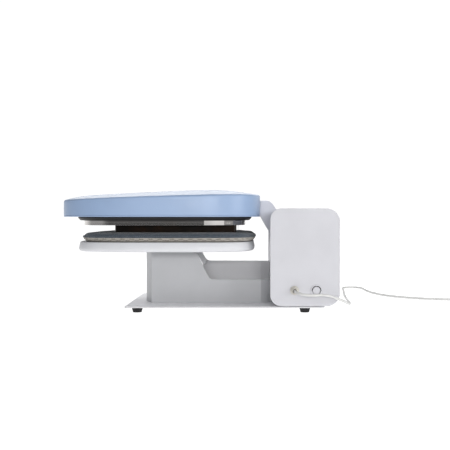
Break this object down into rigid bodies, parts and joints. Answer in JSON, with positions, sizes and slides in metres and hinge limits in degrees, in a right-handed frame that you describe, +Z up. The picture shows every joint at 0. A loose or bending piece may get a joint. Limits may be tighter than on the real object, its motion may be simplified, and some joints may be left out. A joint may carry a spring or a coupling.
{
  "type": "heat press",
  "caption": "Clamshell heat press: a hinged wedge-shaped head with a square heating plate over a cushioned platen, on a pedestal joined to a rear tower.",
  "frame": {"origin": "on the table under the middle of the machine without its cord", "axes": "+X to the right of an operator facing the machine, +Y from the operator towards the tower, +Z up"},
  "size_m": [0.705, 1.1202, 0.2827],
  "materials": {
    "white_paint": "satin powder coat",
    "platen_paint": "satin powder coat on a casting",
    "grey_paint": "satin powder coat",
    "arm_paint": "satin powder coat",
    "shell_paint": "satin powder coat",
    "cover_plastic": "fine texture",
    "blue_shell": "satin moulded shell",
    "skirt_black": "matte heat-resistant plastic",
    "plate_alu": "brushed and polished edge",
    "press_coating": "glossy dark non-stick coating",
    "pad_fabric": "woven, slate",
    "pad_foam": "open honeycomb, beige",
    "pad_rubber": "matte",
    "foot_rubber": "matte",
    "screw_steel": "bright plated",
    "ground_steel": "ground",
    "frame_steel": "black-grey phosphate",
    "chassis_steel": "galvanised",
    "frame_alu": "machined",
    "bronze": "turned bronze",
    "motor_black": "semi-gloss",
    "circuit_board": "solder mask",
    "nylon": "natural nylon",
    "gland_cream": "satin",
    "cord_jacket": "soft vinyl",
    "tie_black": "matte",
    "plug_brass": "bright",
    "switch_black": "semi-gloss",
    "switch_light": "satin",
    "insulation": "mineral fibre board",
    "element_steel": "heat-tinted sheath",
    "bezel_black": "satin",
    "display_glass": "smoked",
    "button_green": "satin",
    "button_grey": "satin"
  },
  "bodies": {
    "stand": {"base_plate": "white_paint", "pedestal_right_panel": "grey_paint", "pedestal_left_panel": "white_paint", "pedestal_nose": "grey_paint", "pedestal_slope_web": "white_paint", "pedestal_top": "white_paint", "rubber_feet": "foot_rubber", "foot_screws": "screw_steel", "foot_nuts": "screw_steel", "pedestal_screws": "screw_steel", "platen_bolts": "screw_steel", "cover_screws": "screw_steel", "lower_platen": "platen_paint", "pad_backing": "pad_rubber", "pad_foam": "pad_foam", "pad_cover": "pad_fabric", "tower_right_cover": "cover_plastic", "tower_left_cover": "cover_plastic", "tower_shell": "shell_paint", "tower_frame_right": "frame_steel", "tower_frame_left": "frame_steel", "hinge_bushes": "bronze", "drive_frame": "frame_steel", "drive_motor": "motor_black", "control_board": "circuit_board", "board_standoffs": "nylon", "cord_gland": "gland_cream", "gland_nut": "gland_cream", "switch_body": "switch_black", "cord_run": "cord_jacket", "cord_coil": "cord_jacket", "cord_tail": "cord_jacket", "cord_tie": "tie_black", "plug": "cord_jacket", "plug_pins": "plug_brass"},
    "head": {"arm": "arm_paint", "hinge_shaft": "ground_steel", "crank_fork": "frame_steel", "crank_pins": "ground_steel", "head_housing": "blue_shell", "head_chassis": "chassis_steel", "housing_screws": "screw_steel", "skirt_frame": "skirt_black", "insulation_board": "insulation", "heat_plate": "plate_alu", "heating_element": "element_steel", "temperature_probe": "ground_steel", "press_plate": "press_coating", "plate_standoffs": "screw_steel", "control_bezel": "bezel_black", "display_window": "display_glass", "panel_board": "circuit_board"},
    "screw": {"lead_screw": "ground_steel", "motor_coupling": "frame_alu"},
    "nut": {"drive_nut": "bronze"},
    "rocker": {"power_rocker": "switch_light"},
    "button_start_cap": {"button_start": "button_green"},
    "button_up_cap": {"button_up": "button_grey"},
    "button_down_cap": {"button_down": "button_grey"},
    "button_menu_cap": {"button_menu": "button_grey"}
  },
  "joints": [
    {"name": "head_hinge", "type": "hinge", "parent": "stand", "child": "head", "pos_m": [0, 0.236, 0.11], "axis": [-1, 0, 0], "range_deg": [0, 50]},
    {"name": "nut_slide", "type": "slide", "parent": "stand", "child": "nut", "axis": [0, 0, -1], "range_m": [0, 0.03806]},
    {"name": "screw_spin", "type": "hinge", "parent": "stand", "child": "screw", "pos_m": [0, 0.27889, 0.115], "axis": [0, 0, 1], "range_deg": [0, 1713.6]},
    {"name": "rocker_tilt", "type": "hinge", "parent": "stand", "child": "rocker", "pos_m": [0.163, 0.2664, 0.0513], "axis": [0, 1, 0], "range_deg": [-16, 0]},
    {"name": "press_start", "type": "slide", "parent": "head", "child": "button_start_cap", "axis": [0, 0.1146, -0.9934], "range_m": [0, 0.0015], "stiffness_N_per_m": 300},
    {"name": "press_up", "type": "slide", "parent": "head", "child": "button_up_cap", "axis": [0, 0.1146, -0.9934], "range_m": [0, 0.0015], "stiffness_N_per_m": 300},
    {"name": "press_down", "type": "slide", "parent": "head", "child": "button_down_cap", "axis": [0, 0.1146, -0.9934], "range_m": [0, 0.0015], "stiffness_N_per_m": 300},
    {"name": "press_menu", "type": "slide", "parent": "head", "child": "button_menu_cap", "axis": [0, 0.1146, -0.9934], "range_m": [0, 0.0015], "stiffness_N_per_m": 300}
  ],
  "couplings": [
    {"joint": "nut_slide", "follows": "head_hinge", "m_per_rad": 0.043586},
    {"joint": "screw_spin", "follows": "head_hinge", "ratio": 34.232}
  ]
}
